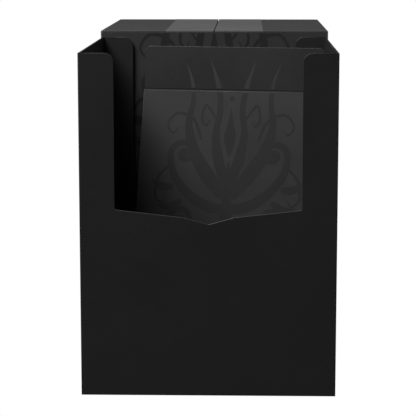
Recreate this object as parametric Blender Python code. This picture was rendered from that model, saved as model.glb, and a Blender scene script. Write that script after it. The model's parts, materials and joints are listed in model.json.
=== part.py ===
"""Card deck box in folded polypropylene sheet: an open-top tray with a thumb notch
in its front and back walls, a loose divider standing in the tray, and a slip-on
cover standing upright right behind the tray.

Units are metres, +Z is up, -Y is the front.  The origin is the centre of the whole
group's footprint, on the surface that it stands on.
"""

import math

import bmesh
import bpy
from mathutils import Matrix, Vector

# ----------------------------------------------------------------- driving sizes
MM = 0.001
SHEET = 0.6 * MM            # polypropylene sheet thickness
GAP = 0.3 * MM              # running gap left between neighbouring sheets

TRAY_W = 75.0 * MM          # tray, outside
TRAY_D = 82.0 * MM
TRAY_H = 101.0 * MM

COVER_W = 76.3 * MM         # cover, outside: slips closely over the tray
COVER_D = 83.3 * MM
COVER_H = 103.2 * MM
STAND_OFF = 0.6 * MM        # clear space between the tray's back and the cover's front

NOTCH_HALF_W = 27.2 * MM    # thumb notch in the tray's front and back walls
NOTCH_SIDE_Z = 55.6 * MM    # height of the notch floor at its two sides
NOTCH_KNEE_X = 7.4 * MM
NOTCH_KNEE_Z = 53.35 * MM
NOTCH_POINT_Z = 51.3 * MM   # lowest point, in the middle
NOTCH_TOP_R = 2.6 * MM      # rounding where the notch meets the rim
NOTCH_LOW_R = 0.8 * MM

DUST_FLAP_REACH = 28.0 * MM
GLUE_TAB_REACH = 12.0 * MM
BOND_STRIP_W = 32.5 * MM    # width of the bonded inner flaps under the cover's top

DIV_W = 58.3 * MM           # divider
DIV_TAB = 13.9 * MM         # tab above the crease
DIV_BOTTOM_Z = 2.5 * MM
DIV_LEAN = math.radians(16.0)       # the panel's top leans back
DIV_TAB_LEAN = math.radians(9.0)    # the tab is bent a little more upright
DIV_YAW = math.radians(11.6)        # right-hand side nearer the front
# right-hand end of the crease, on the front face; y is from the tray's front
DIV_CREASE_X = 35.1 * MM
DIV_CREASE_Y = 45.3 * MM
DIV_CREASE_Z = 85.8 * MM
DIV_CORNER_R = 1.8 * MM

FRONT_Y = -(TRAY_D + STAND_OFF + COVER_D) / 2       # tray's outer front face
TRAY_BACK_Y = FRONT_Y + TRAY_D
COVER_FRONT_Y = TRAY_BACK_Y + STAND_OFF
COVER_BACK_Y = COVER_FRONT_Y + COVER_D


# ----------------------------------------------------------------- helpers
def clear_scene():
    for o in list(bpy.data.objects):
        bpy.data.objects.remove(o, do_unlink=True)


def material(name, colour, roughness, specular=0.5):
    m = bpy.data.materials.new(name)
    m.use_nodes = True
    b = m.node_tree.nodes["Principled BSDF"]
    b.inputs["Base Color"].default_value = (*colour, 1.0)
    b.inputs["Roughness"].default_value = roughness
    b.inputs["Metallic"].default_value = 0.0
    b.inputs["Specular IOR Level"].default_value = specular
    return m


def rounded(points, radii, steps=6):
    """The closed outline through points with each corner rounded to its radius."""
    out = []
    n = len(points)
    for i, (p, r) in enumerate(zip(points, radii)):
        p = Vector(p)
        if r <= 0:
            out.append(p)
            continue
        a = (Vector(points[i - 1]) - p).normalized()
        b = (Vector(points[(i + 1) % n]) - p).normalized()
        half = math.acos(max(-1.0, min(1.0, a.dot(b)))) / 2
        reach = r / math.tan(half)
        centre = p + (a + b).normalized() * (r / math.sin(half))
        s, e = p + a * reach - centre, p + b * reach - centre
        sweep = math.atan2(s.x * e.y - s.y * e.x, s.dot(e))
        for k in range(steps + 1):
            t = sweep * k / steps
            c, d = math.cos(t), math.sin(t)
            out.append(centre + Vector((s.x * c - s.y * d, s.x * d + s.y * c)))
    return out


def sheet(name, outline, mat, matrix, thickness=SHEET):
    """A flat sheet: outline in its own X,Y plane, thickness along its own +Z."""
    bm = bmesh.new()
    low = [bm.verts.new((p[0], p[1], 0.0)) for p in outline]
    face = bm.faces.new(low)
    grown = bmesh.ops.extrude_face_region(bm, geom=[face])
    top = [v for v in grown["geom"] if isinstance(v, bmesh.types.BMVert)]
    bmesh.ops.translate(bm, verts=top, vec=(0, 0, thickness))
    bmesh.ops.recalc_face_normals(bm, faces=bm.faces)
    mesh = bpy.data.meshes.new(name)
    bm.to_mesh(mesh)
    bm.free()
    mesh.materials.append(mat)
    o = bpy.data.objects.new(name, mesh)
    bpy.context.scene.collection.objects.link(o)
    o.matrix_world = matrix
    return o


def box_outline(x0, x1, y0, y1):
    return [(x0, y0), (x1, y0), (x1, y1), (x0, y1)]


def frame(origin, u, v):
    """Matrix whose own X, Y and Z run along u, v and u x v, at origin."""
    u, v = Vector(u).normalized(), Vector(v).normalized()
    w = u.cross(v)
    m = Matrix((u, v, w)).transposed().to_4x4()
    m.translation = Vector(origin)
    return m


def parent(children, name, place):
    e = bpy.data.objects.new(name, None)
    bpy.context.scene.collection.objects.link(e)
    e.matrix_world = Matrix.Translation(Vector(place))
    bpy.context.view_layer.update()
    for c in children:
        w = c.matrix_world.copy()
        c.parent = e
        c.matrix_parent_inverse = e.matrix_world.inverted()
        c.matrix_world = w
    return e


def notched_panel(width, height):
    """Outline of a tray wall with its thumb notch, x across and y up."""
    h = width / 2
    pts = [
        (-h, 0), (h, 0), (h, height),
        (NOTCH_HALF_W, height), (NOTCH_HALF_W, NOTCH_SIDE_Z),
        (NOTCH_KNEE_X, NOTCH_KNEE_Z), (0, NOTCH_POINT_Z), (-NOTCH_KNEE_X, NOTCH_KNEE_Z),
        (-NOTCH_HALF_W, NOTCH_SIDE_Z), (-NOTCH_HALF_W, height),
        (-h, height),
    ]
    rad = [0, 0, 0, NOTCH_TOP_R, NOTCH_LOW_R, 0, 0, 0, NOTCH_LOW_R, NOTCH_TOP_R, 0]
    return rounded(pts, rad)


# upright sheets: own X along world X (or Y), own Y along world Z
def facing_front(x, y_outer, z):
    """A sheet whose outer face is at y_outer and looks to -Y; it grows to +Y."""
    return Matrix(((1, 0, 0, x), (0, 0, 1, y_outer), (0, 1, 0, z), (0, 0, 0, 1)))


def along_y(x_low, y, z):
    """A sheet in the YZ plane that grows from x_low to +X."""
    return Matrix(((0, 0, 1, x_low), (1, 0, 0, y), (0, 1, 0, z), (0, 0, 0, 1)))


def flat(x, y, z_low):
    return Matrix.Translation((x, y, z_low))


clear_scene()

pp = material("tray_pp", (0.016, 0.016, 0.017), 0.46)
pp_inner = material("tray_inner_pp", (0.014, 0.014, 0.015), 0.5)
pp_cover = material("cover_pp", (0.020, 0.020, 0.021), 0.40)
pp_top = material("cover_top_pp", (0.030, 0.030, 0.031), 0.38)
pp_div = material("divider_pp", (0.026, 0.026, 0.027), 0.36)

# ----------------------------------------------------------------- tray
half_w = TRAY_W / 2
tray = []
tray.append(sheet("tray_front_panel", notched_panel(TRAY_W, TRAY_H), pp,
                  facing_front(0, FRONT_Y, 0)))
tray.append(sheet("tray_back_panel", notched_panel(TRAY_W, TRAY_H), pp.copy(),
                  facing_front(0, TRAY_BACK_Y - SHEET, 0)))

side_y0 = FRONT_Y + SHEET + GAP
side_y1 = TRAY_BACK_Y - SHEET - GAP
side = box_outline(0, side_y1 - side_y0, 0, TRAY_H)
tray.append(sheet("tray_left_panel", side, pp.copy(), along_y(-half_w, side_y0, 0)))
tray.append(sheet("tray_right_panel", side, pp.copy(), along_y(half_w - SHEET, side_y0, 0)))

in_x = half_w - SHEET - GAP
tray.append(sheet("tray_bottom_panel", box_outline(-in_x, in_x, side_y0, side_y1),
                  pp_inner, flat(0, 0, 0)))

# dust flaps folded in from the two side walls, bonded on the bottom panel
flap_z = SHEET + GAP
taper = 3.0 * MM
cut = 9.0 * MM
for sign, name in ((-1, "tray_bottom_left_flap"), (1, "tray_bottom_right_flap")):
    x_out, x_in = sign * in_x, sign * (in_x - DUST_FLAP_REACH)
    pts = [
        (x_out, side_y0 + 0.6 * MM), (x_out - sign * cut, side_y0 + taper),
        (x_in, side_y0 + taper), (x_in, side_y1 - taper),
        (x_out - sign * cut, side_y1 - taper), (x_out, side_y1 - 0.6 * MM),
    ]
    if sign < 0:
        pts.reverse()
    rad = [0, 0, 2 * MM, 2 * MM, 0, 0] if sign > 0 else [0, 0, 2 * MM, 2 * MM, 0, 0]
    tray.append(sheet(name, rounded(pts, rad), pp_inner.copy(), flat(0, 0, flap_z)))

# glue tab, folded back from the front wall and bonded inside the left wall
tab_z0 = flap_z + SHEET + GAP
tab_z1 = TRAY_H - 4.0 * MM
tab = [(0, tab_z0), (GLUE_TAB_REACH, tab_z0 + 5 * MM),
       (GLUE_TAB_REACH, tab_z1 - 5 * MM), (0, tab_z1)]
tray.append(sheet("tray_glue_tab", rounded(tab, [0, 1 * MM, 1 * MM, 0]), pp_inner.copy(),
                  along_y(-in_x, side_y0, 0)))
parent(tray, "tray", (0, (FRONT_Y + TRAY_BACK_Y) / 2, 0))

# ----------------------------------------------------------------- cover
half_c = COVER_W / 2
wall_h = COVER_H - SHEET - GAP      # walls end under the top flaps
cover = []
wall = box_outline(-half_c, half_c, 0, wall_h)
cover.append(sheet("cover_front_panel", wall, pp_cover, facing_front(0, COVER_FRONT_Y, 0)))
cover.append(sheet("cover_back_panel", wall, pp_cover.copy(),
                   facing_front(0, COVER_BACK_Y - SHEET, 0)))
cy0 = COVER_FRONT_Y + SHEET + GAP
cy1 = COVER_BACK_Y - SHEET - GAP
wall = box_outline(0, cy1 - cy0, 0, wall_h)
cover.append(sheet("cover_left_panel", wall, pp_cover.copy(), along_y(-half_c, cy0, 0)))
cover.append(sheet("cover_right_panel", wall, pp_cover.copy(), along_y(half_c - SHEET, cy0, 0)))

# the top is two flaps that meet at a seam running front to back
seam = GAP / 2
cover.append(sheet("cover_top_left_flap",
                   box_outline(-half_c, -seam, COVER_FRONT_Y, COVER_BACK_Y),
                   pp_top, flat(0, 0, COVER_H - SHEET)))
cover.append(sheet("cover_top_right_flap",
                   box_outline(seam, half_c, COVER_FRONT_Y, COVER_BACK_Y),
                   pp_top.copy(), flat(0, 0, COVER_H - SHEET)))

# narrow inner flaps from the front and back walls carry the seam
mid_y = (COVER_FRONT_Y + COVER_BACK_Y) / 2
b = BOND_STRIP_W / 2
inner_z = COVER_H - 2 * SHEET - GAP
pts = [(-b, cy0), (b, cy0), (b, mid_y - GAP / 2), (-b, mid_y - GAP / 2)]
cover.append(sheet("cover_front_inner_flap", rounded(pts, [0, 0, 2 * MM, 2 * MM]),
                   pp_inner.copy(), flat(0, 0, inner_z)))
pts = [(-b, mid_y + GAP / 2), (b, mid_y + GAP / 2), (b, cy1), (-b, cy1)]
cover.append(sheet("cover_back_inner_flap", rounded(pts, [2 * MM, 2 * MM, 0, 0]),
                   pp_inner.copy(), flat(0, 0, inner_z)))

# glue tab, folded from the back wall and bonded inside the right wall
t0, t1 = 2.0 * MM, inner_z - 3.0 * MM
reach = GLUE_TAB_REACH
tab = [(0, t0), (0, t1), (-reach, t1 - 5 * MM), (-reach, t0 + 5 * MM)]
tab.reverse()
cover.append(sheet("cover_glue_tab", rounded(tab, [1 * MM, 1 * MM, 0, 0]), pp_inner.copy(),
                   along_y(half_c - 2 * SHEET - GAP, cy1, 0)))
parent(cover, "cover", (0, mid_y, 0))

# ----------------------------------------------------------------- divider
# own X runs across it to the right, own Y up along it, own Z out of its front face
across = Vector((math.cos(DIV_YAW), -math.sin(DIV_YAW), 0))


def leaning(angle):
    return Vector((math.sin(angle) * math.sin(DIV_YAW),
                   math.sin(angle) * math.cos(DIV_YAW), math.cos(angle)))


up, tab_up = leaning(DIV_LEAN), leaning(DIV_TAB_LEAN)
crease_right = Vector((DIV_CREASE_X, FRONT_Y + DIV_CREASE_Y, DIV_CREASE_Z))
panel_length = (DIV_CREASE_Z - DIV_BOTTOM_Z) / math.cos(DIV_LEAN)
# the crease's centre line, in the middle of the sheet's thickness: the hinge axis
crease = crease_right - across * (DIV_W / 2) - across.cross(up) * (SHEET / 2)

web = GAP / 2                              # half the gap at the crease
land = 0.10 * MM                           # half the thickness left at the crease
rise = SHEET / 2 - land


def creased_sheet(name, length_y, radius, mat, upward, along):
    """Sheet that starts at the crease with a V-shaped end and runs to length_y."""
    s = 1 if upward else -1
    h = DIV_W / 2
    corner = rounded([(-h, 0), (h, 0), (h, length_y), (-h, length_y)], [0, 0, radius, radius])
    corner = corner[2:]                    # far edge with its rounded corners, right to left
    near = [(-h, 0.0), (h, 0.0)]
    bm = bmesh.new()

    def ring(z, start):
        pts = [(near[0][0], start), (near[1][0], start)] + [(p[0], p[1]) for p in corner]
        return [bm.verts.new((x, s * y, z)) for x, y in pts]

    back = ring(-SHEET / 2, web + rise)
    front = ring(SHEET / 2, web + rise)
    ridge_b = [bm.verts.new((near[0][0], s * web, -land)), bm.verts.new((near[1][0], s * web, -land))]
    ridge_f = [bm.verts.new((near[0][0], s * web, land)), bm.verts.new((near[1][0], s * web, land))]
    bm.faces.new(back)
    bm.faces.new(front)
    n = len(back)
    for i in range(1, n):
        j = (i + 1) % n
        if j == 0:
            # left edge, with the V's end
            bm.faces.new([back[i], back[0], ridge_b[0], ridge_f[0], front[0], front[i]])
        elif i == 1:
            bm.faces.new([back[1], back[2], front[2], front[1], ridge_f[1], ridge_b[1]])
        else:
            bm.faces.new([back[i], back[j], front[j], front[i]])
    bm.faces.new([back[0], back[1], ridge_b[1], ridge_b[0]])
    bm.faces.new([ridge_b[0], ridge_b[1], ridge_f[1], ridge_f[0]])
    bm.faces.new([ridge_f[0], ridge_f[1], front[1], front[0]])
    bmesh.ops.recalc_face_normals(bm, faces=bm.faces)
    mesh = bpy.data.meshes.new(name)
    bm.to_mesh(mesh)
    bm.free()
    mesh.materials.append(mat)
    o = bpy.data.objects.new(name, mesh)
    bpy.context.scene.collection.objects.link(o)
    o.matrix_world = frame(crease, across, along)
    return o


creased_sheet("divider_panel", panel_length, DIV_CORNER_R, pp_div, False, up)
creased_sheet("divider_tab", DIV_TAB, DIV_CORNER_R, pp_div.copy(), True, tab_up)
bpy.context.view_layer.update()
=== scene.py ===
import json
import math

import bmesh
import bpy
import numpy as np
from mathutils import Matrix, Vector, geometry


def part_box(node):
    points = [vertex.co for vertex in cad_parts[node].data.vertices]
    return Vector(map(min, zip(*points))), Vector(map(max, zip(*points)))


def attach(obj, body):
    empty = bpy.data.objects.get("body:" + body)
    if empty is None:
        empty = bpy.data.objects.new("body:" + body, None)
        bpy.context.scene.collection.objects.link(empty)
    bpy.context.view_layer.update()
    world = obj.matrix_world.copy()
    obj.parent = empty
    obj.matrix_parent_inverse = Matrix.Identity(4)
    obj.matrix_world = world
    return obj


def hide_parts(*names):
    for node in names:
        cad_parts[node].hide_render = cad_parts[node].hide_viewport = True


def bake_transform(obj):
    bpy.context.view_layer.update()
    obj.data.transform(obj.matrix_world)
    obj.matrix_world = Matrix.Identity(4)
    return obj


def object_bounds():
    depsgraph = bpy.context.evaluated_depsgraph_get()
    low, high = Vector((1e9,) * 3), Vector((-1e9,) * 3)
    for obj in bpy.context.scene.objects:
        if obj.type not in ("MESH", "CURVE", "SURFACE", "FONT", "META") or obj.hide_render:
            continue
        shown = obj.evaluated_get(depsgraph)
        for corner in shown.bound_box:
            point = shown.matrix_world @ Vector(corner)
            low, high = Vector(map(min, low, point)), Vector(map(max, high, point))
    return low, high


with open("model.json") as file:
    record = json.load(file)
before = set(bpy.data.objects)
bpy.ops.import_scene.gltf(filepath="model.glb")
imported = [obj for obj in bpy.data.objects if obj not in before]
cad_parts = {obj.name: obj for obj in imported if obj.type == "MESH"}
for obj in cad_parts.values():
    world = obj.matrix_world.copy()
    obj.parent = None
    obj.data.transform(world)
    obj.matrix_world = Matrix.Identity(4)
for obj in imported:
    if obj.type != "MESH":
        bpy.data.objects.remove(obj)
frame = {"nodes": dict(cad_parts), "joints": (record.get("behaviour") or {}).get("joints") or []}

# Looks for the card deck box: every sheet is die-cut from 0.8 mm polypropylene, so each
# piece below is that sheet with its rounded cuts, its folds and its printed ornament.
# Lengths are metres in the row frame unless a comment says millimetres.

cad_lo, cad_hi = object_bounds()
nodes = frame["nodes"]
scene = bpy.context.scene
MM = 0.001


def span(node):
    lo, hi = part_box(node)
    return Vector(lo), Vector(hi)


# ---------------------------------------------------------------- sizes, from the frame
tf_lo, tf_hi = span("tray_front_panel")
tb_lo, tb_hi = span("tray_back_panel")
cf_lo, cf_hi = span("cover_front_panel")
cb_lo, cb_hi = span("cover_back_panel")
top_lo, top_hi = span("cover_top_left_flap")
inner_lo, inner_hi = span("cover_front_inner_flap")

T = tf_hi.y - tf_lo.y                      # sheet thickness
HW, TY0, TY1, TH = tf_hi.x, tf_lo.y, tb_hi.y, tf_hi.z
CW, CY0, CY1, CH = cf_hi.x, cf_lo.y, cb_hi.y, top_hi.z
STRIP = inner_hi.x                         # half width of the bonded strip on the cover's top

CUT_R = 0.12 * MM                          # rounding of a die-cut edge
FOLD_R = 0.42 * MM                         # outer rounding of a scored fold
HAIR = 0.006 * MM                          # what is left between two parts of one blank


# ---------------------------------------------------------------- the notch, from the CAD outline
def notch_points():
    """Corners of the thumb notch in the tray's front wall, read from the wall's own vertices."""
    pts = sorted({(round(v.co.x, 6), round(v.co.z, 6)) for v in nodes["tray_front_panel"].data.vertices
                  if abs(v.co.y - tf_lo.y) < 1e-6 and abs(v.co.x) < HW - 1e-4})
    low = min(pts, key=lambda p: p[1])                       # the point in the middle
    right = [p for p in pts if p[0] > 1e-4]
    half_w = max(p[0] for p in right if p[1] < low[1] + 20 * MM)
    top_r = max(p[0] for p in right) - half_w
    knee = min((p for p in right if p[1] < low[1] + 10 * MM), key=lambda p: p[0])
    floor_pts = [p for p in right if p[1] < low[1] + 6 * MM and p[0] > knee[0] + 1 * MM]
    a = min(floor_pts, key=lambda p: p[1] + 0.0 * p[0])      # start of the low corner's arc
    slope = (a[1] - knee[1]) / (a[0] - knee[0])
    side_z = knee[1] + slope * (half_w - knee[0])
    return half_w, side_z, knee[0], knee[1], low[1], top_r


NOTCH_W, NOTCH_Z, KNEE_X, KNEE_Z, POINT_Z, NOTCH_R = notch_points()


# ---------------------------------------------------------------- shape tools
def rounded(points, radii, steps=10):
    """Closed outline with each corner rounded to its radius."""
    out = []
    n = len(points)
    for i, (p, r) in enumerate(zip(points, radii)):
        p = Vector(p)
        if r <= 0:
            out.append((p.x, p.y))
            continue
        a = (Vector(points[i - 1]) - p).normalized()
        b = (Vector(points[(i + 1) % n]) - p).normalized()
        half = math.acos(max(-1.0, min(1.0, a.dot(b)))) / 2
        centre = p + (a + b).normalized() * (r / math.sin(half))
        s = p + a * (r / math.tan(half)) - centre
        e = p + b * (r / math.tan(half)) - centre
        sweep = math.atan2(s.x * e.y - s.y * e.x, s.dot(e))
        for k in range(steps + 1):
            t = sweep * k / steps
            c, d = math.cos(t), math.sin(t)
            q = centre + Vector((s.x * c - s.y * d, s.x * d + s.y * c))
            out.append((q.x, q.y))
    return out


def near(a, b, tol=2e-6):
    return abs(a - b) < tol


def sheet_mesh(outline, fold=None, butt=None, chamfer=None, cut_r=CUT_R, fold_r=FOLD_R, cuts=(), thick=None):
    """A sheet in its own (s, t, n) space; n runs from 0 on the inner face to the thickness on the outer one.
    fold(s, t): edges of the outer face that are rounded as a scored fold; their inner side stays square.
    butt(s, t): ends that run on into the next panel of the same blank and stay square.
    chamfer(s, t): ends cut to a 45 degree V from both faces, as at a crease."""
    th = thick or T
    bm = bmesh.new()
    face = bm.faces.new([bm.verts.new((p[0], p[1], 0.0)) for p in outline])
    grown = bmesh.ops.extrude_face_region(bm, geom=[face])
    bmesh.ops.translate(bm, verts=[v for v in grown["geom"] if isinstance(v, bmesh.types.BMVert)], vec=(0, 0, th))
    bmesh.ops.recalc_face_normals(bm, faces=bm.faces)

    def both(test, e):
        a, b = e.verts[0].co, e.verts[1].co
        return test is not None and test(a.x, a.y) and test(b.x, b.y) and test((a.x + b.x) / 2, (a.y + b.y) / 2)

    def level(e, z):
        return near(e.verts[0].co.z, z, 1e-7) and near(e.verts[1].co.z, z, 1e-7)

    if chamfer is not None:
        es = [e for e in bm.edges if (level(e, 0) or level(e, th)) and both(chamfer, e)]
        bmesh.ops.bevel(bm, geom=es, offset=th / 2 - 0.1 * MM, segments=1, profile=0.5, affect="EDGES")
    if fold is not None:
        es = [e for e in bm.edges if level(e, th) and both(fold, e)]
        bmesh.ops.bevel(bm, geom=es, offset=fold_r, segments=6, profile=0.5, affect="EDGES")
    es = []
    for e in bm.edges:
        if not (level(e, 0) or level(e, th)) or len(e.link_faces) != 2:
            continue
        if both(fold, e) or both(butt, e) or both(chamfer, e):
            continue
        if abs(e.calc_face_angle(0)) > 1.2:
            es.append(e)
    bmesh.ops.bevel(bm, geom=es, offset=cut_r, segments=3, profile=0.5, affect="EDGES")
    for axis, at in cuts:
        co = (at, 0, 0) if axis == 0 else (0, at, 0)
        no = (1, 0, 0) if axis == 0 else (0, 1, 0)
        bmesh.ops.bisect_plane(bm, geom=bm.verts[:] + bm.edges[:] + bm.faces[:], dist=1e-8, plane_co=co, plane_no=no)
    # this layer marks the cut and fold faces, which the material paints paler: partly a burnished cut, partly a
    # painted highlight of the lit rim
    lay = bm.verts.layers.float.new("edge_wear_and_highlight")
    for v in bm.verts:
        v[lay] = 1.0 if 1e-7 < v.co.z < th - 1e-7 else 0.0
    return bm


def warp(bm, f):
    for v in bm.verts:
        v.co = f(v.co.x, v.co.y, v.co.z)
    return bm


def piece(bm, name, body, mats, replaces=(), ride=True):
    """The mesh, already in the row frame, as a named piece."""
    bmesh.ops.recalc_face_normals(bm, faces=bm.faces)
    mesh = bpy.data.meshes.new(name)
    bm.to_mesh(mesh)
    bm.free()
    for m in (mats if isinstance(mats, (list, tuple)) else [mats]):
        mesh.materials.append(m)
    mesh.shade_smooth()
    o = bpy.data.objects.new(name, mesh)
    scene.collection.objects.link(o)
    w = o.modifiers.new("weighted_normals", "WEIGHTED_NORMAL")
    w.mode, w.weight, w.keep_sharp = "FACE_AREA", 100, True
    if ride:
        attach(o, body)
    if replaces:
        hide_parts(*replaces)
    return o


def facing(direction, outer):
    """Placing of a sheet whose outer face looks along direction, at the coordinate outer."""
    sign = -1 if direction[0] == "-" else 1
    axis = direction[1]

    def f(s, t, n):
        d = outer - sign * (T - n)
        return Vector({"x": (d, s, t), "y": (s, d, t), "z": (s, t, d)}[axis])
    return f


# ---------------------------------------------------------------- materials
def new_material(name):
    m = bpy.data.materials.new(name)
    m.use_nodes = True
    m.node_tree.nodes.clear()
    return m


class Graph:
    """Short names for the nodes that every material here is made of."""

    def __init__(self, mat):
        self.t = mat.node_tree
        self.x = 0

    def node(self, kind, **props):
        n = self.t.nodes.new(kind)
        self.x += 40
        n.location = (self.x, -self.x * 0.3)
        for k, v in props.items():
            setattr(n, k, v)
        return n

    def wire(self, out, socket):
        self.t.links.new(out, socket)

    def put(self, socket, value):
        if isinstance(value, bpy.types.NodeSocket):
            self.wire(value, socket)
        else:
            socket.default_value = value

    def coords(self, scale=(1, 1, 1), rot=(0, 0, 0), offset=(0, 0, 0)):
        if not hasattr(self, "tc"):
            self.tc = self.node("ShaderNodeTexCoord")
        m = self.node("ShaderNodeMapping")
        m.inputs["Scale"].default_value = scale
        m.inputs["Rotation"].default_value = rot
        m.inputs["Location"].default_value = offset
        self.wire(self.tc.outputs["Object"], m.inputs["Vector"])
        return m.outputs["Vector"]

    def noise(self, vec, scale, detail=2.0, rough=0.5, distortion=0.0):
        n = self.node("ShaderNodeTexNoise")
        self.wire(vec, n.inputs["Vector"])
        n.inputs["Scale"].default_value = scale
        n.inputs["Detail"].default_value = detail
        n.inputs["Roughness"].default_value = rough
        n.inputs["Distortion"].default_value = distortion
        return n.outputs["Fac"]

    def voronoi(self, vec, scale, feature="SMOOTH_F1", smooth=0.6, rand=1.0):
        n = self.node("ShaderNodeTexVoronoi", feature=feature)
        self.wire(vec, n.inputs["Vector"])
        n.inputs["Scale"].default_value = scale
        n.inputs["Randomness"].default_value = rand
        if feature == "SMOOTH_F1":
            n.inputs["Smoothness"].default_value = smooth
        return n.outputs["Distance"]

    def math(self, op, a, b=0.0, c=None, clamp=False):
        n = self.node("ShaderNodeMath", operation=op, use_clamp=clamp)
        self.put(n.inputs[0], a)
        self.put(n.inputs[1], b)
        if c is not None:
            self.put(n.inputs[2], c)
        return n.outputs[0]

    def remap(self, v, a, b, c, d, clamp=True, smooth=False):
        n = self.node("ShaderNodeMapRange", clamp=clamp)
        if smooth:
            n.interpolation_type = "SMOOTHSTEP"
        self.put(n.inputs["Value"], v)
        for k, x in zip(("From Min", "From Max", "To Min", "To Max"), (a, b, c, d)):
            self.put(n.inputs[k], x)
        return n.outputs["Result"]

    def mix(self, fac, a, b):
        n = self.node("ShaderNodeMix", data_type="RGBA")
        self.put(n.inputs["Factor"], fac)
        self.put(n.inputs[6], a)
        self.put(n.inputs[7], b)
        return n.outputs[2]

    def attribute(self, name):
        n = self.node("ShaderNodeAttribute", attribute_name=name)
        return n.outputs["Fac"]

    def bump(self, height, distance, strength, normal=None):
        n = self.node("ShaderNodeBump")
        n.inputs["Distance"].default_value = distance
        n.inputs["Strength"].default_value = strength
        self.wire(height, n.inputs["Height"])
        if normal is not None:
            self.wire(normal, n.inputs["Normal"])
        return n.outputs["Normal"]


def grey(v, warm=0.0):
    return (v * (1 + warm), v, v * (1 - warm), 1.0)


def sheet_material(name, value, rough, specular=0.5, grain=1.0, grain_size=1.0, edge=1.8, scuff=1.0,
                   wave=1.0, seed=0.0, touch=None, coat=0.0, streak=None):
    """Black polypropylene sheet: a fine sand grain, cloudy gloss, long faint rubs, and paler cut edges, partly a
    burnished cut and partly a painted highlight of the lit rims.
    touch is (centre, radius): where fingers have polished it."""
    m = new_material(name)
    g = Graph(m)
    base = g.coords(offset=(seed * 0.371, seed * 0.193, seed * 0.517))
    fine = g.noise(base, 5200 / grain_size, 3.0, 0.62)
    cells = g.voronoi(base, 3100 / grain_size, smooth=0.75)
    cloud = g.noise(base, 46, 4.0, 0.6, 0.4)
    patch = g.noise(base, 240, 3.0, 0.55)
    rubs_a = g.noise(g.coords(scale=(1, 1, 0.05), rot=(0.35, 0.9, 0.2), offset=(seed, 0, 0)), 900, 2.0, 0.5)
    rubs_b = g.noise(g.coords(scale=(0.05, 1, 1), rot=(0.1, -0.5, 0.45), offset=(0, seed, 0)), 1100, 2.0, 0.5)
    rubs = g.math("MAXIMUM", g.remap(rubs_a, 0.70, 0.79, 0, 1), g.remap(rubs_b, 0.72, 0.80, 0, 1))
    rub_area = g.remap(g.noise(base, 21, 2.0, 0.5), 0.45, 0.7, 0.0, 1.0)
    rubs = g.math("MULTIPLY", rubs, rub_area)
    specks = g.remap(g.noise(g.coords(offset=(0.7 + seed, 0.2, 0.1)), 1500, 1.0, 0.5), 0.745, 0.80, 0, 1)
    worn_and_lit_edge = g.attribute("edge_wear_and_highlight")
    worn_and_lit_edge = g.math("MULTIPLY", worn_and_lit_edge, g.remap(patch, 0.25, 0.75, 0.7, 1.0))

    # colour: cloudy black, dust in the specks, a paler cut edge that is partly a burnished cut and partly a painted
    # highlight of the lit rim
    tone = g.mix(g.remap(cloud, 0.3, 0.7, 0, 1), grey(value * 0.93), grey(value * 1.07, 0.004))
    tone = g.mix(g.math("MULTIPLY", g.remap(fine, 0.3, 0.7, 0, 1), 0.45 * min(1.0, grain)), tone, grey(value * 1.18))
    tone = g.mix(g.math("MULTIPLY", rubs, 0.35 * scuff), tone, grey(value * 1.9, 0.01))
    tone = g.mix(g.math("MULTIPLY", specks, 0.30 * scuff), tone, grey(value * 3.2, 0.03))
    # painted highlight: cut and fold edges are painted paler by the factor edge, partly burnish and partly the light
    # the rims catch
    tone = g.mix(worn_and_lit_edge, tone, grey(value * edge, 0.005))

    # gloss
    r = g.remap(cloud, 0.25, 0.75, rough - 0.035, rough + 0.035)
    r = g.math("ADD", r, g.remap(patch, 0.3, 0.7, -0.02, 0.02))
    r = g.math("ADD", r, g.math("MULTIPLY", g.remap(fine, 0.3, 0.7, -0.5, 0.5), 0.05 * grain))
    r = g.math("SUBTRACT", r, g.math("MULTIPLY", rubs, 0.08 * scuff))
    r = g.math("ADD", r, g.math("MULTIPLY", specks, 0.18 * scuff))
    if touch is not None:
        centre, radius = touch
        d = g.node("ShaderNodeVectorMath", operation="DISTANCE")
        g.wire(g.coords(), d.inputs[0])
        d.inputs[1].default_value = centre
        polish = g.remap(d.outputs["Value"], radius * 0.2, radius, 1.0, 0.0, smooth=True)
        polish = g.math("MULTIPLY", polish, g.remap(patch, 0.3, 0.7, 0.5, 1.0))
        r = g.math("SUBTRACT", r, g.math("MULTIPLY", polish, 0.05))
    r = g.math("SUBTRACT", r, g.math("MULTIPLY", worn_and_lit_edge, 0.06), clamp=True)

    # relief: the sheet's slow wave, the pressed grain, the rubs
    n1 = g.bump(g.noise(base, 17, 1.0, 0.4), 0.0010 * wave, 0.30)
    h = g.math("ADD", g.math("MULTIPLY", cells, 0.8), g.math("MULTIPLY", fine, 0.6))
    n2 = g.bump(h, 0.000022 * grain_size, 0.55 * grain, n1)
    n3 = g.bump(rubs, 0.000006, 0.5 * scuff, n2)

    b = g.node("ShaderNodeBsdfPrincipled")
    g.wire(tone, b.inputs["Base Color"])
    g.wire(r, b.inputs["Roughness"])
    g.wire(n3, b.inputs["Normal"])
    b.inputs["IOR"].default_value = 1.49
    b.inputs["Specular IOR Level"].default_value = specular
    if coat:
        b.inputs["Coat Weight"].default_value = coat
        b.inputs["Coat Roughness"].default_value = 0.3
    out = g.node("ShaderNodeOutputMaterial")
    g.wire(b.outputs["BSDF"], out.inputs["Surface"])
    return m


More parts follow.
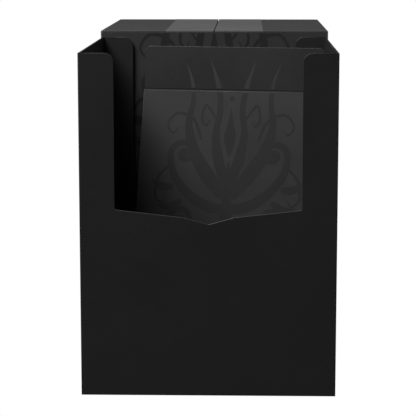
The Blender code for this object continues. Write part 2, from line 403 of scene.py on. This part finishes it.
def ink_material(name, value, rough, specular=0.4, seed=0.0):
    """Screen-printed ink on the sheet: denser and smoother than the grain, with pinholes and a rubbed film."""
    m = new_material(name)
    g = Graph(m)
    base = g.coords(offset=(seed, seed * 0.7, 0))
    fine = g.noise(base, 6400, 2.0, 0.6)
    cloud = g.noise(base, 70, 3.0, 0.55)
    mesh_pin = g.remap(g.voronoi(base, 2300, feature="F1"), 0.05, 0.22, 1, 0)
    tone = g.mix(g.remap(cloud, 0.3, 0.7, 0, 1), grey(value * 0.92), grey(value * 1.08))
    tone = g.mix(g.math("MULTIPLY", mesh_pin, 0.25), tone, grey(value * 1.5))
    r = g.remap(cloud, 0.25, 0.75, rough - 0.04, rough + 0.04)
    r = g.math("ADD", r, g.math("MULTIPLY", mesh_pin, 0.10), clamp=True)
    n1 = g.bump(g.noise(base, 17, 1.0, 0.4), 0.0010, 0.30)
    n2 = g.bump(fine, 0.000010, 0.35, n1)
    b = g.node("ShaderNodeBsdfPrincipled")
    g.wire(tone, b.inputs["Base Color"])
    g.wire(r, b.inputs["Roughness"])
    g.wire(n2, b.inputs["Normal"])
    b.inputs["IOR"].default_value = 1.49
    b.inputs["Specular IOR Level"].default_value = specular
    out = g.node("ShaderNodeOutputMaterial")
    g.wire(b.outputs["BSDF"], out.inputs["Surface"])
    return m


# the cover's top uses a lighter value than its walls though it is the same sheet: painted light for the sheen the top
# catches
TRAY_V, COVER_V, TOP_PAINTED_LIT_V, DIV_V = 0.0165, 0.044, 0.050, 0.0205
m_tray_front = sheet_material("tray_front_sheet", TRAY_V, 0.50, seed=1, touch=((0, tf_lo.y, POINT_Z), 0.022))
m_tray_back = sheet_material("tray_back_sheet", TRAY_V, 0.50, seed=2, touch=((0, tb_hi.y, POINT_Z), 0.022))
m_tray_left = sheet_material("tray_left_sheet", TRAY_V, 0.50, seed=3)
m_tray_right = sheet_material("tray_right_sheet", TRAY_V, 0.50, seed=4)
m_tray_base = sheet_material("tray_base_sheet", TRAY_V * 0.95, 0.54, seed=5, scuff=1.4)
m_tray_flap = sheet_material("tray_flap_sheet", TRAY_V, 0.52, seed=6)
m_cover_wall = sheet_material("cover_wall_sheet", COVER_V, 0.46, seed=7)
m_cover_back = sheet_material("cover_back_sheet", COVER_V, 0.46, seed=8, scuff=1.2)
m_cover_side = sheet_material("cover_side_sheet", COVER_V, 0.46, seed=9)
m_cover_top_painted_lit = sheet_material("cover_top_sheet", TOP_PAINTED_LIT_V, 0.44, seed=10)
# the bonded strip is the same sheet as the top: its lower roughness is real gloss, its lighter colour is a painted
# sheen
m_cover_strip_painted_sheen = sheet_material("cover_bonded_strip_painted_sheen", TOP_PAINTED_LIT_V * 2.7, 0.30, seed=11, grain=0.45, edge=1.1, scuff=0.8)
m_cover_flap = sheet_material("cover_flap_sheet", COVER_V * 0.8, 0.52, seed=12)
m_divider = sheet_material("divider_sheet", DIV_V, 0.42, specular=0.38, seed=13)
m_divider_tab = sheet_material("divider_tab_sheet", DIV_V, 0.42, specular=0.38, seed=14)
m_web = sheet_material("divider_crease_web", DIV_V, 0.40, seed=15, grain=0.5)
m_ink_panel = ink_material("divider_print", 0.0125, 0.52, specular=0.28, seed=1)
# the tab's print uses a lighter ink than the same print on the panel: a painted sheen for the glossy print catching
# light above the crease
m_ink_tab_painted_sheen = ink_material("divider_tab_print_painted_sheen", 0.034, 0.48, seed=2)
m_ink_cover = ink_material("cover_print", 0.026, 0.50, specular=0.34, seed=3)

# ---------------------------------------------------------------- tray
def notched(half_w, height):
    pts = [
        (-half_w, 0), (half_w, 0), (half_w, height),
        (NOTCH_W, height), (NOTCH_W, NOTCH_Z), (KNEE_X, KNEE_Z), (0, POINT_Z), (-KNEE_X, KNEE_Z),
        (-NOTCH_W, NOTCH_Z), (-NOTCH_W, height), (-half_w, height),
    ]
    low_r = 0.8 * MM
    return rounded(pts, [0, 0, 0, NOTCH_R, low_r, 0.5 * MM, 0.5 * MM, 0.5 * MM, low_r, NOTCH_R, 0])


def box(s0, s1, t0, t1):
    return [(s0, t0), (s1, t0), (s1, t1), (s0, t1)]


# front wall: folds into both side walls and, along its foot, into the bottom
bm = sheet_mesh(notched(HW, TH), fold=lambda s, t: near(abs(s), HW) or near(t, 0))
piece(warp(bm, facing("-y", TY0)), "tray_front_wall", "tray", m_tray_front, ["tray_front_panel"])
bm = sheet_mesh(notched(HW, TH), fold=lambda s, t: near(abs(s), HW))
piece(warp(bm, facing("+y", TY1)), "tray_back_wall", "tray", m_tray_back, ["tray_back_panel"])

y0, y1 = TY0 + T + HAIR, TY1 - T - HAIR
for sign, side, mat in ((-1, "left", m_tray_left), (1, "right", m_tray_right)):
    bm = sheet_mesh(box(y0, y1, 0, TH), fold=lambda s, t: near(t, 0), butt=lambda s, t: near(s, y0) or near(s, y1))
    piece(warp(bm, facing("-x" if sign < 0 else "+x", sign * HW)), f"tray_{side}_wall", "tray", mat,
          [f"tray_{side}_panel"])

inx = HW - T
lo, hi = span("tray_bottom_panel")
bm = sheet_mesh(box(lo.x, hi.x, y0, hi.y), butt=lambda s, t: near(t, y0))
piece(warp(bm, facing("-z", 0)), "tray_bottom", "tray", m_tray_base, ["tray_bottom_panel"])

for sign, side in ((-1, "left"), (1, "right")):
    node = f"tray_bottom_{side}_flap"
    lo, hi = span(node)
    x_in = hi.x if sign < 0 else lo.x
    x_out = sign * (inx - HAIR)
    cut = sign * 9.0 * MM
    pts = [(x_out, lo.y), (x_out - cut, lo.y + 2.4 * MM), (x_in, lo.y + 2.4 * MM),
           (x_in, hi.y - 2.4 * MM), (x_out - cut, hi.y - 2.4 * MM), (x_out, hi.y)]
    if sign < 0:
        pts.reverse()
    bm = sheet_mesh(rounded(pts, [0, 1 * MM, 2 * MM, 2 * MM, 1 * MM, 0]), butt=lambda s, t: near(s, x_out))
    piece(warp(bm, facing("+z", hi.z)), f"tray_{side}_dust_flap", "tray", m_tray_flap, [node])

lo, hi = span("tray_glue_tab")
tab = [(y0, lo.z), (hi.y, lo.z + 5 * MM), (hi.y, hi.z - 5 * MM), (y0, hi.z)]
bm = sheet_mesh(rounded(tab, [0, 1 * MM, 1 * MM, 0]), butt=lambda s, t: near(s, y0))
piece(warp(bm, facing("-x", lo.x)), "tray_side_tab", "tray", m_tray_flap, ["tray_glue_tab"])

# ---------------------------------------------------------------- cover
wall_top = CH - T - 0.03 * MM
bm = sheet_mesh(box(-CW, CW, 0, wall_top), fold=lambda s, t: near(abs(s), CW), cut_r=0.09 * MM)
piece(warp(bm, facing("-y", CY0)), "cover_front_wall", "cover", m_cover_wall, ["cover_front_panel"])
bm = sheet_mesh(box(-CW, CW, 0, wall_top), fold=lambda s, t: near(abs(s), CW), cut_r=0.09 * MM)
piece(warp(bm, facing("+y", CY1)), "cover_back_wall", "cover", m_cover_back, ["cover_back_panel"])
c0, c1, side_top = CY0 + T + HAIR, CY1 - T - HAIR, CH - T - HAIR
for sign, side in ((-1, "left"), (1, "right")):
    bm = sheet_mesh(box(c0, c1, 0, side_top),
                    butt=lambda s, t: near(s, c0) or near(s, c1) or near(t, side_top))
    piece(warp(bm, facing("-x" if sign < 0 else "+x", sign * CW)), f"cover_{side}_wall", "cover", m_cover_side,
          [f"cover_{side}_panel"])

LIFT = 0.05 * MM                            # how far the bonded strip stands above the rest of the top
for sign, side in ((-1, "left"), (1, "right")):
    node = f"cover_top_{side}_flap"
    lo, hi = span(node)
    x_in = hi.x if sign < 0 else lo.x
    pts = [(x_in, CY0), (sign * CW, CY0), (sign * CW, CY1), (x_in, CY1)]
    rad = [0, FOLD_R, FOLD_R, 0]
    if sign < 0:
        pts.reverse()
    bm = sheet_mesh(rounded(pts, rad, 4), fold=lambda s, t: abs(s) > CW - FOLD_R - 1e-6, cut_r=0.09 * MM,
                    cuts=((0, sign * (STRIP - 0.04 * MM)), (0, sign * (STRIP + 0.04 * MM)),
                          (0, x_in + sign * 0.3 * MM), (1, CY0 + 0.3 * MM), (1, CY1 - 0.3 * MM)))
    place = facing("+z", CH)

    def settle(s, t, n):
        return place(s, t, n - (LIFT if abs(s) > STRIP and n > T / 2 else 0.0))

    warp(bm, settle)
    # faces over the bonded strip take the strip's material, whose lighter colour is a painted sheen
    for f in bm.faces:
        c = f.calc_center_median()
        f.material_index = 1 if abs(c.x) < STRIP + 0.03 * MM and c.z > CH - T * 0.6 else 0
    piece(bm, f"cover_{side}_top", "cover", [m_cover_top_painted_lit, m_cover_strip_painted_sheen], [node])

for end, node in ((-1, "cover_front_inner_flap"), (1, "cover_back_inner_flap")):
    lo, hi = span(node)
    if end < 0:
        pts, rad, root = [(lo.x, c0), (hi.x, c0), (hi.x, hi.y), (lo.x, hi.y)], [0, 0, 2 * MM, 2 * MM], c0
    else:
        pts, rad, root = [(lo.x, lo.y), (hi.x, lo.y), (hi.x, c1), (lo.x, c1)], [2 * MM, 2 * MM, 0, 0], c1
    bm = sheet_mesh(rounded(pts, rad), butt=lambda s, t: near(t, root))
    piece(warp(bm, facing("+z", hi.z)), node.replace("inner", "bonding"), "cover", m_cover_flap, [node])

lo, hi = span("cover_glue_tab")
tab = [(c1, lo.z), (c1, hi.z), (lo.y, hi.z - 5 * MM), (lo.y, lo.z + 5 * MM)]
tab.reverse()
bm = sheet_mesh(rounded(tab, [1 * MM, 1 * MM, 0, 0]), butt=lambda s, t: near(s, c1))
piece(warp(bm, facing("+x", hi.x)), "cover_side_tab", "cover", m_cover_flap, ["cover_glue_tab"])

# ---------------------------------------------------------------- divider
joint = next(j for j in frame["joints"] if j["name"] == "divider_crease")
hinge = Vector(joint["pos_m"])


def own_axes(node, hinge):
    """Right, along and outward directions of a creased sheet, from its own flat faces."""
    mesh = nodes[node].data
    big = sorted(mesh.polygons, key=lambda p: -p.area)
    n = Vector(big[0].normal)
    if n.y > 0:
        n = -n
    co = [v.co - hinge for v in mesh.vertices]
    right = Vector((-n.y, n.x, 0)).normalized()      # the crease is level
    if right.x < 0:
        right = -right
    along = n.cross(right).normalized()
    if sum(c.dot(along) for c in co) < 0:
        along = -along
    reach = max(c.dot(along) for c in co)
    half = max(c.dot(right) for c in co)
    return right, along, n, reach, half


WEB = 0.15 * MM
for_film = {}
for node, name, mat in (("divider_panel", "divider_sheet", m_divider), ("divider_tab", "divider_top_tab", m_divider_tab)):
    right, along, out, reach, half = own_axes(node, hinge)
    pts = [(-half, WEB), (half, WEB), (half, reach), (-half, reach)]
    bm = sheet_mesh(rounded(pts, [0, 0, 1.8 * MM, 1.8 * MM]), chamfer=lambda s, t: near(t, WEB))
    warp(bm, lambda s, t, n: hinge + right * s + along * t + out * (n - T / 2))
    body = "divider" if node == "divider_panel" else "divider_tab"
    piece(bm, name, body, mat, [node])
    for_film[body] = (right, along, out, reach, half)

# the thin web left at the crease, bent from the panel's plane into the tab's
right, down, out, _, half = for_film["divider"]
_, up, tab_out, _, _ = for_film["divider_tab"]
bm = bmesh.new()
stations = [-0.42, -0.30, -0.15, -0.10, -0.05, 0.0, 0.05, 0.10, 0.15, 0.30, 0.42]
rings = []
for q in stations:
    d, o = (down, out) if q < 0 else (up, tab_out)
    if abs(q) < 0.15:                       # ease from one side's plane to the other's
        k = (q + 0.15) / 0.30
        o = (out * (1 - k) + tab_out * k).normalized()
        centre = hinge + (down * max(-q, 0) + up * max(q, 0)) * MM
    else:
        centre = hinge + d * abs(q) * MM
    back, front = 0.092 * MM, 0.17 * MM     # fuller on the printed side, so the crease is a shallow line
    ends = half - 0.06 * MM
    rings.append([bm.verts.new(centre + right * sx * ends + o * sz) for sx, sz in ((-1, -back), (1, -back), (1, front), (-1, front))])
for a, b in zip(rings, rings[1:]):
    for k in range(4):
        bm.faces.new([a[k], a[(k + 1) % 4], b[(k + 1) % 4], b[k]])
bm.faces.new(rings[0][::-1])
bm.faces.new(rings[-1])
web = piece(bm, "divider_crease_web", "divider", m_web, ride=False)
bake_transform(web)


# ---------------------------------------------------------------- printed ornament, in millimetres
def catmull(pts, n=10):
    out = []
    p = [pts[0]] + list(pts) + [pts[-1]]
    for i in range(1, len(p) - 2):
        p0, p1, p2, p3 = p[i - 1], p[i], p[i + 1], p[i + 2]
        for k in range(n):
            t = k / n
            out.append(tuple(0.5 * ((2 * b) + (-a + c) * t + (2 * a - 5 * b + 4 * c - d) * t * t
                                    + (-a + 3 * b - 3 * c + d) * t ** 3) for a, b, c, d in zip(p0, p1, p2, p3)))
    out.append(tuple(pts[-1]))
    return out


def ribbon(path):
    """Quads of a stroke; each point of the path is (x, y, half width)."""
    n = len(path)
    left, right_ = [], []
    for i, (x, y, w) in enumerate(path):
        a, b = path[max(i - 1, 0)], path[min(i + 1, n - 1)]
        dx, dy = b[0] - a[0], b[1] - a[1]
        d = math.hypot(dx, dy) or 1e-9
        nx, ny = -dy / d, dx / d
        w = max(w, 0.02)
        left.append((x + nx * w, y + ny * w))
        right_.append((x - nx * w, y - ny * w))
    return [[left[i], left[i + 1], right_[i + 1], right_[i]] for i in range(n - 1)]


def disc(x, y, r, n=20):
    return [[(x + r * math.cos(2 * math.pi * k / n), y + r * math.sin(2 * math.pi * k / n)) for k in range(n)]]


def spiral(cx, cy, r0, r1, a0, turns, w0, w1, n=44):
    out = []
    for i in range(n + 1):
        t = i / n
        r = r0 * (r1 / r0) ** t
        a = math.radians(a0) + 2 * math.pi * turns * t
        out.append((cx + r * math.cos(a), cy + r * math.sin(a), w0 + (w1 - w0) * t))
    return out


def half_ornament():
    q = []

    def stroke(*pts, n=10):
        q.extend(ribbon(catmull(pts, n)))

    stroke((1.2, -34, 1.7), (6.5, -27.5, 2.3), (11.5, -19.5, 1.9), (13.6, -11, 1.15), (12.6, -3.5, 0.8), (13.3, 3.0, 0.5), (15.4, 8.6, 0.08))
    stroke((0.6, -30, 1.5), (3.4, -22, 1.7), (4.6, -14, 1.1), (3.6, -6.5, 0.95), (4.5, 1.0, 0.8), (7.4, 9.6, 0.08))
    stroke((1.4, -38, 1.6), (7, -37.0, 1.7), (13, -33, 1.5), (17.6, -27.2, 1.25), (19.0, -21.5, 1.05), (18.96, -20.4, 1.05))
    q.extend(ribbon(spiral(14.4, -20.6, 4.65, 1.1, -11, 1.35, 1.05, 0.5)))
    q.extend(disc(14.4, -20.6, 1.15))
    stroke((0.9, -46, 1.5), (6.5, -49.5, 1.7), (13.0, -49.0, 1.4), (17.7, -44.8, 1.15), (18.55, -43.6, 1.1))
    q.extend(ribbon(spiral(14.1, -41.6, 4.9, 1.1, -40, 1.3, 1.1, 0.5)))
    q.extend(disc(14.1, -41.6, 1.1))
    for x, y, a, l, w in ((17.4, -31.2, 18, 7.5, 1.25), (14.6, -35.6, -12, 8.0, 1.2), (18.6, -46.2, -30, 7.2, 1.15),
                          (14.4, -50.6, -62, 7.4, 1.1), (8.4, -51.2, -88, 6.8, 1.0)):
        c, s = math.cos(math.radians(a)), math.sin(math.radians(a))
        leaf = [(x + c * l * t + s * 1.3 * math.sin(math.pi * t), y + s * l * t - c * 1.3 * math.sin(math.pi * t),
                 w * max(0.0, math.sin(math.pi * min(1, 0.18 + 0.82 * t))) ** 0.8 + 0.03) for t in (0, 0.2, 0.4, 0.6, 0.8, 1.0)]
        q.extend(ribbon(catmull(leaf, 5)))
    stroke((9.2, -16.0, 0.35), (12.0, -9.6, 0.5), (17.4, -7.6, 0.45), (20.4, -11.2, 0.35), (18.6, -14.0, 0.3), (16.9, -12.2, 0.12))
    stroke((5.0, -9.0, 0.3), (8.2, -4.8, 0.42), (9.4, -9.2, 0.4), (7.9, -11.4, 0.3), (6.9, -9.6, 0.1))
    stroke((19.2, -24.6, 0.4), (22.6, -28.6, 0.5), (23.2, -34.4, 0.4), (20.8, -36.6, 0.3), (19.6, -34.6, 0.12))
    stroke((0.6, -52, 1.0), (3.6, -58, 1.5), (8.4, -61.5, 1.3), (13.0, -59.8, 0.95))
    q.extend(ribbon(spiral(11.6, -57.0, 3.1, 0.9, -64, 1.2, 0.9, 0.4)))
    q.extend(disc(11.6, -57.0, 0.9))
    stroke((0.3, -60, 0.9), (2.4, -66, 1.3), (6.4, -69.6, 0.9), (10.8, -69.2, 0.1))
    q.extend(disc(8.4, -43.2, 0.75, 14))
    q.extend(disc(6.4, -55.0, 0.6, 14))
    return q


def centre_ornament():
    q = []
    q.extend(ribbon(catmull([(0, -78, 0.1), (0, -72, 0.9), (0, -62, 0.7), (0, -52, 1.2), (0, -42, 1.9), (0, -34, 1.5),
                             (0, -28, 0.9), (0, -23, 0.25)])))
    q.extend(ribbon(catmull([(0, -21.5, 0.05), (0, -18, 1.3), (0, -14.5, 1.9), (0, -11, 1.0), (0, -5.5, 0.05)])))
    q.extend(disc(0, -2.6, 0.8, 16))
    return q


def ornament():
    h = half_ornament()
    return h + [[(-x, y) for x, y in reversed(f)] for f in h] + centre_ornament()


def clip(poly, side, at):
    """The part of a convex polygon with side * (y - at) >= 0."""
    out = []
    for i, p in enumerate(poly):
        q = poly[(i + 1) % len(poly)]
        dp, dq = side * (p[1] - at), side * (q[1] - at)
        if dp >= 0:
            out.append(p)
        if dp * dq < 0:
            k = dp / (dp - dq)
            out.append((p[0] + (q[0] - p[0]) * k, p[1] + (q[1] - p[1]) * k))
    return out if len(out) >= 3 else None


def film(polys, name, body, mat, place, proud=0.022 * MM, sunk=0.014 * MM):
    """One closed film over the union of the polygons. place(x, y, n) puts it in the row frame."""
    coords, faces = [], []
    for p in polys:
        for k in range(1, len(p or []) - 1):
            tri = [p[0], p[k], p[k + 1]]
            area = sum(a[0] * b[1] - b[0] * a[1] for a, b in zip(tri, tri[1:] + tri[:1])) / 2
            if abs(area) < 1e-6:
                continue
            faces.append(list(range(len(coords), len(coords) + 3)))
            coords.extend(Vector((x, y)) for x, y in (tri if area > 0 else tri[::-1]))
    vo, _, fo, *_ = geometry.delaunay_2d_cdt(coords, [], faces, 0, 1e-5)
    flat = np.array([(v.x, v.y) for v in vo])
    mids = flat[np.array([f[:3] for f in fo])].mean(axis=1)
    inside = np.zeros(len(fo), bool)
    for f in faces:
        ok = np.ones(len(fo), bool)
        for a, b in ((0, 1), (1, 2), (2, 0)):
            pa, pb = coords[f[a]], coords[f[b]]
            ok &= (pb.x - pa.x) * (mids[:, 1] - pa.y) - (pb.y - pa.y) * (mids[:, 0] - pa.x) >= 0
        inside |= ok
    keep = [f for f, k in zip(fo, inside) if k]
    bm = bmesh.new()
    top = [bm.verts.new((v.x, v.y, 1.0)) for v in vo]
    for f in keep:
        bm.faces.new([top[i] for i in f])
    bmesh.ops.delete(bm, geom=[v for v in bm.verts if not v.link_faces], context="VERTS")
    bmesh.ops.dissolve_degenerate(bm, dist=1e-4, edges=bm.edges)
    bmesh.ops.recalc_face_normals(bm, faces=bm.faces)
    if sum(f.normal.z for f in bm.faces) < 0:
        bmesh.ops.reverse_faces(bm, faces=bm.faces)
    base = bm.faces[:]
    rim = [(l.vert, l.link_loop_next.vert) for f in base for l in f.loops if len(l.edge.link_faces) == 1]
    low_of = {v: bm.verts.new((v.co.x, v.co.y, 0.0)) for v in bm.verts[:]}
    for f in base:
        bm.faces.new([low_of[v] for v in reversed(f.verts[:])])
    for a, b in rim:
        bm.faces.new([b, a, low_of[a], low_of[b]])
    for v in bm.verts:
        v.co = place(v.co.x * MM, v.co.y * MM, proud if v.co.z > 0.5 else -sunk)
    lay = bm.verts.layers.float.new("edge_wear_and_highlight")
    for v in bm.verts:
        v[lay] = 0.0
    bmesh.ops.recalc_face_normals(bm, faces=bm.faces)
    mesh = bpy.data.meshes.new(name)
    bm.to_mesh(mesh)
    bm.free()
    mesh.materials.append(mat)
    o = bpy.data.objects.new(name, mesh)
    scene.collection.objects.link(o)
    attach(o, body)
    return o


art = ornament()
right, down, out, reach, half = for_film["divider"]
film([clip(p, -1, -0.7) for p in art], "divider_print_film", "divider", m_ink_panel,
     lambda x, y, n: hinge + right * x - down * y + out * (T / 2 + n))
right, up, tab_out, reach, half = for_film["divider_tab"]
film([clip(p, 1, 0.7) for p in art], "divider_tab_print_film", "divider_tab", m_ink_tab_painted_sheen,
     lambda x, y, n: hinge + right * x + up * y + tab_out * (T / 2 + n))
K = 1.22
film([clip(clip(p, 1, -76.0) or [], -1, -7.3) for p in art], "cover_print_film", "cover", m_ink_cover,
     lambda x, y, n: Vector((x * K, CY0 - n, CH + 8.0 * MM + y * K)))

# ---------------------------------------------------------------- floor, light, camera
plane = bpy.data.meshes.new("studio_floor")
S = 30.0
plane.from_pydata([(-S, -S, 0), (S, -S, 0), (S, S, 0), (-S, S, 0)], [], [(0, 1, 2, 3)])
floor = bpy.data.objects.new("studio_floor", plane)
scene.collection.objects.link(floor)
floor.location.z = cad_lo.z - 0.0001
m = new_material("studio_floor")
g = Graph(m)
path = g.node("ShaderNodeLightPath")
paper = g.node("ShaderNodeBsdfDiffuse")
paper.inputs["Color"].default_value = (0.10, 0.10, 0.10, 1)
white = g.node("ShaderNodeEmission")
white.inputs["Color"].default_value = (1, 1, 1, 1)
white.inputs["Strength"].default_value = 1.0
mix = g.node("ShaderNodeMixShader")
g.wire(path.outputs["Is Camera Ray"], mix.inputs[0])
g.wire(paper.outputs[0], mix.inputs[1])
g.wire(white.outputs[0], mix.inputs[2])
end = g.node("ShaderNodeOutputMaterial")
g.wire(mix.outputs[0], end.inputs["Surface"])
plane.materials.append(m)

world = bpy.data.worlds.new("studio")
scene.world = world
world.use_nodes = True
wt = world.node_tree
wt.nodes.clear()
lp = wt.nodes.new("ShaderNodeLightPath")
seen = wt.nodes.new("ShaderNodeBackground")
seen.inputs["Color"].default_value = (1, 1, 1, 1)
seen.inputs["Strength"].default_value = 1.0
fill = wt.nodes.new("ShaderNodeBackground")
fill.inputs["Color"].default_value = (1, 1, 1, 1)
fill.inputs["Strength"].default_value = 0.085
wmix = wt.nodes.new("ShaderNodeMixShader")
wout = wt.nodes.new("ShaderNodeOutputWorld")
wt.links.new(lp.outputs["Is Camera Ray"], wmix.inputs[0])
wt.links.new(fill.outputs[0], wmix.inputs[1])
wt.links.new(seen.outputs[0], wmix.inputs[2])
wt.links.new(wmix.outputs[0], wout.inputs["Surface"])


def softbox(name, direction, distance, size, power, target=(0, -0.03, 0.07)):
    light = bpy.data.lights.new(name, "AREA")
    light.shape = "SQUARE"
    light.size = size
    light.energy = power
    o = bpy.data.objects.new(name, light)
    scene.collection.objects.link(o)
    d = Vector(direction).normalized()
    o.location = Vector(target) + d * distance
    o.rotation_mode = "QUATERNION"
    o.rotation_quaternion = (-d).to_track_quat("-Z", "Y")
    o.visible_camera = False
    return o


softbox("key_softbox", (-0.45, -0.35, 0.82), 0.75, 0.36, 6.5)

cam_data = bpy.data.cameras.new("camera")
cam_data.sensor_width = 36.0
cam_data.lens = 141.66
cam_data.clip_start, cam_data.clip_end = 0.01, 200.0
cam = bpy.data.objects.new("camera", cam_data)
scene.collection.objects.link(cam)
cam.location = (0.011486, -0.551357, 0.131712)
cam.rotation_euler = (math.radians(90 - 9.1522), 0.0, math.radians(1.4115))
scene.camera = cam
scene.view_settings.view_transform = "Standard"

bpy.context.view_layer.update()
